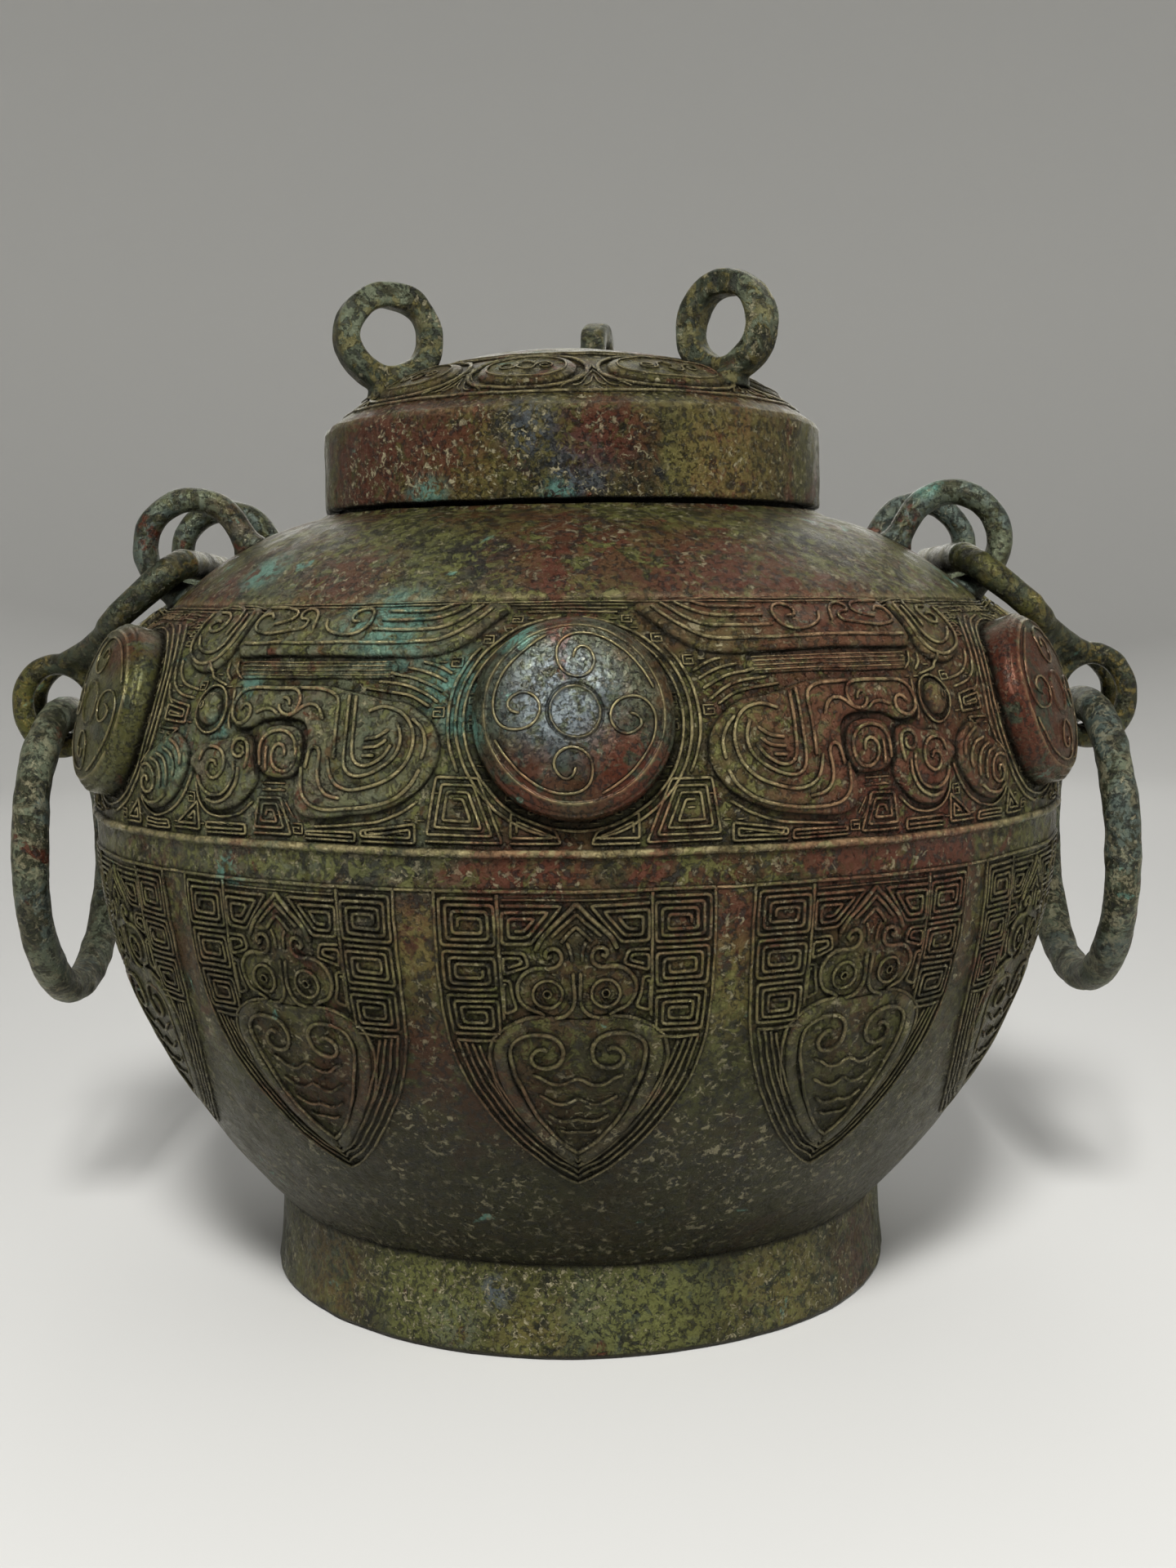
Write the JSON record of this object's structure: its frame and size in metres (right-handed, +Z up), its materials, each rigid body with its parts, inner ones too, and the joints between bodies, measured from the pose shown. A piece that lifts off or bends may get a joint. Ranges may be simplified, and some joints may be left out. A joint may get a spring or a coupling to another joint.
{
  "type": "lidded bronze vessel",
  "caption": "Round-shouldered bronze wine vessel on a ring foot, with a domed lid, whorl bosses, and a chained bail ring on each shoulder.",
  "frame": {"origin": "centre of the foot's standing face", "axes": "+Z up along the vessel's axis, +X towards the right handle, the front faces -Y"},
  "size_m": [0.3506, 0.3096, 0.3],
  "materials": {
    "body_bronze": "olive patina",
    "foot_bronze": "mottled olive patina",
    "lid_bronze": "brown and olive patina",
    "boss_bronze": "waxed brown patina",
    "lid_ring_bronze": "grey-green patina",
    "lug_bronze": "grey-green patina",
    "link_bronze": "grey-green patina, worn",
    "bail_bronze": "grey-green patina"
  },
  "bodies": {
    "vessel": {"vessel_body": "body_bronze", "foot_ring": "foot_bronze", "neck_collar": "body_bronze", "boss_1": "boss_bronze", "boss_2": "boss_bronze", "boss_3": "boss_bronze", "boss_4": "boss_bronze", "boss_5": "boss_bronze", "boss_6": "boss_bronze", "lug_arch_a_right": "lug_bronze", "lug_arch_b_right": "lug_bronze", "lug_arch_a_left": "lug_bronze", "lug_arch_b_left": "lug_bronze"},
    "lid": {"lid": "lid_bronze", "lid_ring_1": "lid_ring_bronze", "lid_ring_2": "lid_ring_bronze", "lid_ring_3": "lid_ring_bronze"},
    "right_link": {"link_right": "link_bronze"},
    "right_bail": {"bail_right": "bail_bronze"},
    "left_link": {"link_left": "link_bronze"},
    "left_bail": {"bail_left": "bail_bronze"}
  },
  "joints": [
    {"name": "lid_lift", "type": "slide", "parent": "vessel", "child": "lid", "axis": [0, 0, 1], "range_m": [0, 0.06]},
    {"name": "right_link_swing", "type": "hinge", "parent": "vessel", "child": "right_link", "pos_m": [0.11625, 0, 0.21698], "axis": [0, -1, 0], "range_deg": [0, 130]},
    {"name": "right_bail_swing", "type": "hinge", "parent": "right_link", "child": "right_bail", "pos_m": [0.16055, 0, 0.172], "axis": [0, -1, 0], "range_deg": [-8, 60]},
    {"name": "left_link_swing", "type": "hinge", "parent": "vessel", "child": "left_link", "pos_m": [-0.11625, 0, 0.21698], "axis": [0, 1, 0], "range_deg": [0, 130]},
    {"name": "left_bail_swing", "type": "hinge", "parent": "left_link", "child": "left_bail", "pos_m": [-0.16055, 0, 0.172], "axis": [0, 1, 0], "range_deg": [-8, 60]}
  ]
}
